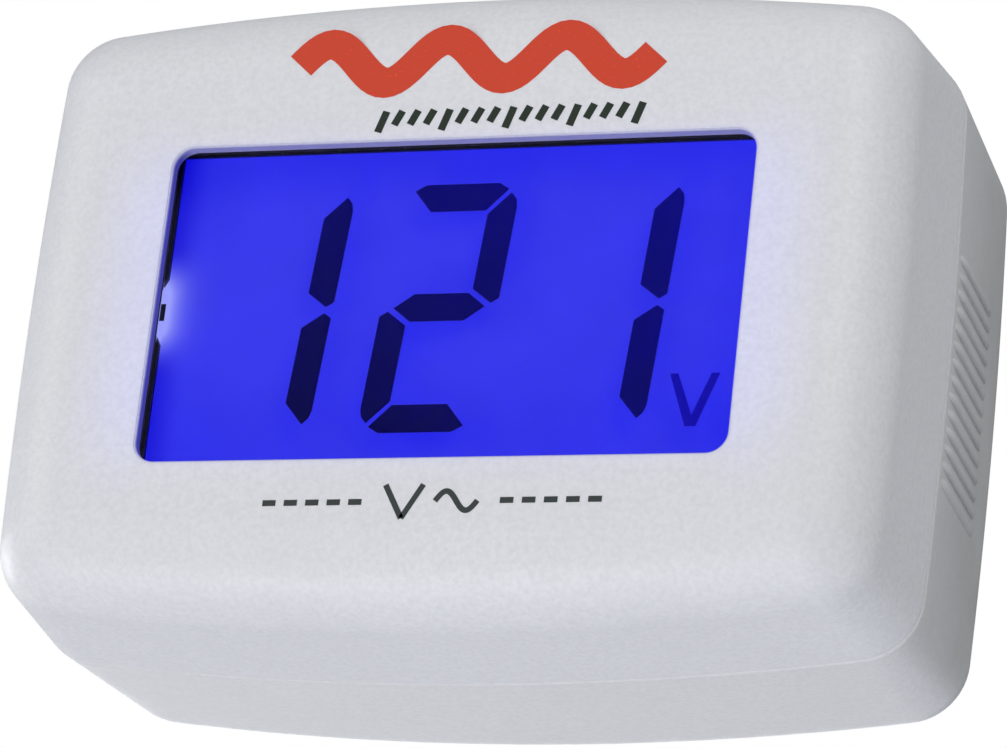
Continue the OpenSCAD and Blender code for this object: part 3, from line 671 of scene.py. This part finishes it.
def grip_rib(bm, side, z):
    """A low rounded ridge along the depth on one side wall, fading out at both ends."""
    rings = []
    for k in range(RIB_STEPS + 1):
        t = k / RIB_STEPS
        u = mix(RIB_START, RIB_END, t)
        swell = min(1.0, math.sin(math.pi * t) * RIB_TAPER) ** 0.5 if 0 < k < RIB_STEPS else 0.0
        width = RIB_HALF * mix(0.6, 1.0, swell)
        crown = [(RIB_RISE * swell * math.sin(g) - RIB_SINK, -width * math.cos(g))
                 for g in (math.pi * i / RIB_ARC for i in range(RIB_ARC + 1))]
        section = [(-RIB_ROOT, -width)] + crown + [(-RIB_ROOT, width)]
        rings.append([spot(side * (side_x(u, z) + out), u, z + up) for out, up in section])
    skin(bm, rings, caps=True)


def build_rear_cover():
    """A closed shell, then its screw tubes joined on, its wells and slots cut, and its grip ribs set on."""
    bm = bmesh.new()
    lip_depth, lip_inset = PARTING + SEAM_LIP_H + SEAM_PLAY, SEAM_LIP - SEAM_PLAY
    rings = edge_rings(DEPTH - WALL, WALL, REAR_ROUND - WALL, -1, 6)[::-1]
    rings += [ring(lip_depth, WALL), ring(lip_depth, lip_inset), ring(PARTING + SEAM_GAP, lip_inset),
              ring(PARTING + SEAM_GAP, SEAM_CUT), ring(PARTING + SEAM * 0.7, SEAM_CUT * 0.3),
              ring(PARTING + SEAM, 0.0)]
    rings += [ring(mix(PARTING + SEAM, DEPTH - REAR_ROUND, t), 0.0) for t in (0.02, 0.35, 0.7, 0.97)]
    rings += edge_rings(DEPTH, 0.0, REAR_ROUND, -1, 18)
    rings += [ring(DEPTH, REAR_ROUND + FLAT_MARGIN)]
    skin(bm, rings, caps=True)
    shell = finish_mesh("rear_shell_piece", bm, looks["shell_grey"])
    bm = bmesh.new()
    for at in SCREW_AT:
        peg(bm, at, [(BOSS_END, TUBE_R), (DEPTH - WALL + ROOT, TUBE_R)])
    tubes = finish_mesh("tubes", bm, looks["shell_grey"])
    for tool, operation in ((tubes, "UNION"), (cutter("wells", cut_wells), "DIFFERENCE"),
                            (cutter("slots", cut_slots), "DIFFERENCE")):
        step = shell.modifiers.new(operation, "BOOLEAN")
        step.operation = operation
        step.object = tool
        step.solver = "EXACT"
        data = bpy.data.meshes.new_from_object(shell.evaluated_get(bpy.context.evaluated_depsgraph_get()))
        shell.modifiers.clear()
        shell.data = data
        bpy.data.objects.remove(tool)
    bm = bmesh.new()
    bm.from_mesh(shell.data)
    for side in (-1, 1):
        for i in range(RIBS):
            grip_rib(bm, side, RIB_Z + RIB_PITCH * (i - (RIBS - 1) / 2))
    bmesh.ops.recalc_face_normals(bm, faces=bm.faces)
    bm.to_mesh(shell.data)
    bm.free()
    shade_curves(shell.data)
    return shell


front_piece = build_front_cover()
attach(front_piece, HOUSING)
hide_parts("front_cover")
rear_piece = build_rear_cover()
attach(rear_piece, HOUSING)
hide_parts("rear_cover")


# ---- Display panes: ground edges, and a hair of air between one pane and the next ----

PANE_AIR = 0.01
GROUND_EDGE, GROUND_SHARE = 0.12, 0.3
PANE_SHARP = 20.0


def build_pane(node, slot):
    lo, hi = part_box(node)
    bm = bmesh.new()
    rings = []
    thick = (hi.y - lo.y) / MM - 2 * PANE_AIR
    ground = min(GROUND_EDGE, thick * GROUND_SHARE)
    for along, grow in ((0.0, -ground), (ground, 0.0), (thick - ground, 0.0), (thick, -ground)):
        half_x, half_z = (hi.x - lo.x) / 2 / MM + grow, (hi.z - lo.z) / 2 / MM + grow
        points = [(half_x, -half_z), (half_x, half_z), (-half_x, half_z), (-half_x, -half_z)]
        rings.append([Vector((LCD_X + x, lo.y / MM + PANE_AIR + along, LCD_Z + z)) * MM for x, z in points])
    skin(bm, rings, caps=True)
    made = finish_mesh(node + "_pane", bm, looks[slot], PANE_SHARP)
    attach(made, HOUSING)
    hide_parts(node)


for pane in ("lcd_front_polariser", "lcd_rear_polariser"):
    build_pane(pane, "polariser")
for pane in ("lcd_front_glass", "lcd_rear_glass"):
    build_pane(pane, "display_glass")


# ---- Printing on the face: plain marks in place of the maker's ----

PRINT_RISE, PRINT_BASE = 0.02, 0.004                # the film's front and back, over the face


def print_row(bm, points, rise):
    return [bm.verts.new(spot(x, FACE_RECESS - rise, z)) for x, z in points]


def strip(bm, centre, width):
    """A thin closed film of ink along a list of (x, z) points."""
    left, right = [], []
    for i, (x, z) in enumerate(centre):
        before, after = centre[max(i - 1, 0)], centre[min(i + 1, len(centre) - 1)]
        way = Vector((after[0] - before[0], after[1] - before[1])).normalized()
        across = way * width / 2
        left.append((x - across.y, z + across.x))
        right.append((x + across.y, z - across.x))
    rows = [print_row(bm, right, PRINT_RISE), print_row(bm, left, PRINT_RISE),
            print_row(bm, left, PRINT_BASE), print_row(bm, right, PRINT_BASE)]
    for low, high in zip(rows, rows[1:] + rows[:1]):
        for i in range(len(centre) - 1):
            bm.faces.new((low[i], low[i + 1], high[i + 1], high[i]))
    bm.faces.new([row[0] for row in reversed(rows)])
    bm.faces.new([row[-1] for row in rows])


def wave(x0, x1, z, height, turns, steps=72):
    """Points along a sine wave."""
    return [(mix(x0, x1, i / steps), z + height * math.sin(math.tau * turns * i / steps))
            for i in range(steps + 1)]


def build_print(name, colour, draw):
    bm = bmesh.new()
    draw(bm)
    made = to_object(name, bm)
    made.data.materials.append(ink(name + "_ink", colour))
    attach(made, HOUSING)


def draw_wave(bm):
    strip(bm, wave(-11.8, 14.2, 16.7, 1.55, 3), 2.3)


def draw_scale(bm):
    """Slanted ticks, every fourth one longer."""
    ticks, top, slant, width = 17, 12.95, 0.25, 0.55
    for i in range(ticks):
        x = mix(-5.2, 13.4, i / (ticks - 1))
        foot = 11.4 if i % 4 == 0 else 11.9
        strip(bm, [(x + slant, top), (x - slant, foot)], width)


def draw_caption(bm):
    """A row of dashes on both sides of a V and one wave."""
    middle, dashes, pitch, dash, stroke = -15.9, 5, 1.55, 0.95, 0.4
    for start in (-10.4, 6.6):
        for x in (start + i * pitch for i in range(dashes)):
            strip(bm, [(x, middle), (x + dash, middle)], stroke + 0.02)
    mark_x, mark_w, mark_h = -0.3, 1.35, 1.2
    for side in (-mark_w, mark_w):
        strip(bm, [(mark_x + side, middle + mark_h), (mark_x, middle - mark_h)], stroke)
    strip(bm, wave(2.0, 5.0, middle, 0.7, 1, 28), stroke)


build_print("print_wave", rgb(0.66, 0.05, 0.012), draw_wave)
build_print("print_scale", rgb(0.008, 0.018, 0.006), draw_scale)
build_print("print_caption", rgb(0.03, 0.04, 0.035), draw_caption)


# ---- Studio ----

LAMP_AIM = Vector((0, -16, 0))
LAMP_DISTANCE, LAMP_SIZE = 900, 350


def area_light(name, azimuth, elevation, power, colour=(1, 1, 1), size=LAMP_SIZE):
    """A square lamp that the camera doesn't see, aimed at the object."""
    away = way_to(azimuth, elevation)
    data = bpy.data.lights.new(name, "AREA")
    data.size = size * MM
    data.energy = power
    data.color = colour
    lamp = link_object(name, data)
    lamp.location = (LAMP_AIM + away * LAMP_DISTANCE) * MM
    lamp.rotation_mode = "QUATERNION"
    lamp.rotation_quaternion = (-away).to_track_quat("-Z", "Y")
    lamp.visible_camera = False


def make_lamps():
    area_light("left", -60, 10, 1.6, (1.0, 0.94, 0.9))
    area_light("right", 45, 30, 2.3, (1.0, 0.94, 0.86))
    area_light("far_right", 70, 10, 0.3)
    area_light("above", 0, 60, 0.6)
    area_light("below_front", 0, -50, 0.7)
    area_light("below_left", -42, -57, 1.7, size=220)
    area_light("below", 0, -85, 1.3, (0.97, 0.96, 1.1))
    area_light("behind", -160, 5, 0.7)
    area_light("behind_left", -110, 0, 1.8)


def make_floor():
    """A pale floor well below the object, brightened for the camera alone."""
    floor = bpy.data.meshes.new("floor")
    half, drop = 6.0, -1.0
    floor.from_pydata([(-half, -half, drop), (half, -half, drop), (half, half, drop), (-half, half, drop)],
                      [], [(0, 1, 2, 3)])
    look = Look("floor_paper")
    look.feed(look.shader.inputs["Base Color"],
              look.mix(look.noise(3), rgb(0.86, 0.86, 0.86), rgb(0.9, 0.9, 0.9)))
    look.shader.inputs["Roughness"].default_value = 0.9
    look.shader.inputs["Emission Color"].default_value = rgb(1.0, 0.98, 0.94)
    path = look.node("ShaderNodeLightPath")
    look.feed(look.shader.inputs["Emission Strength"], look.times(path.outputs["Is Camera Ray"], 0.45))
    floor.materials.append(look.material)
    ground = link_object("floor", floor)


def make_world():
    """Soft light, stronger from the side of the face than from behind, and plain white for the camera."""
    world = bpy.data.worlds.new("studio")
    bpy.context.scene.world = world
    world.use_nodes = True
    nodes, links = world.node_tree.nodes, world.node_tree.links
    path = nodes.new("ShaderNodeLightPath")
    dim = nodes["Background"]
    dim.inputs[0].default_value = rgb(0.94, 1.0, 1.12)
    place = nodes.new("ShaderNodeTexCoord")
    split = nodes.new("ShaderNodeSeparateXYZ")
    links.new(place.outputs["Generated"], split.inputs[0])
    depth = nodes.new("ShaderNodeMapRange")
    links.new(split.outputs[1], depth.inputs[0])
    for socket, value in zip(list(depth.inputs)[1:5], (-0.6, 0.6, 0.49, 0.2)):
        socket.default_value = value
    links.new(depth.outputs[0], dim.inputs[1])
    white = nodes.new("ShaderNodeBackground")
    white.inputs[0].default_value = rgb(1, 1, 1)
    white.inputs[1].default_value = 1.0
    both = nodes.new("ShaderNodeMixShader")
    links.new(path.outputs["Is Camera Ray"], both.inputs[0])
    links.new(dim.outputs[0], both.inputs[1])
    links.new(white.outputs[0], both.inputs[2])
    links.new(both.outputs[0], nodes["World Output"].inputs[0])


make_lamps()
make_floor()
make_world()
bpy.context.scene.view_settings.view_transform = "Standard"
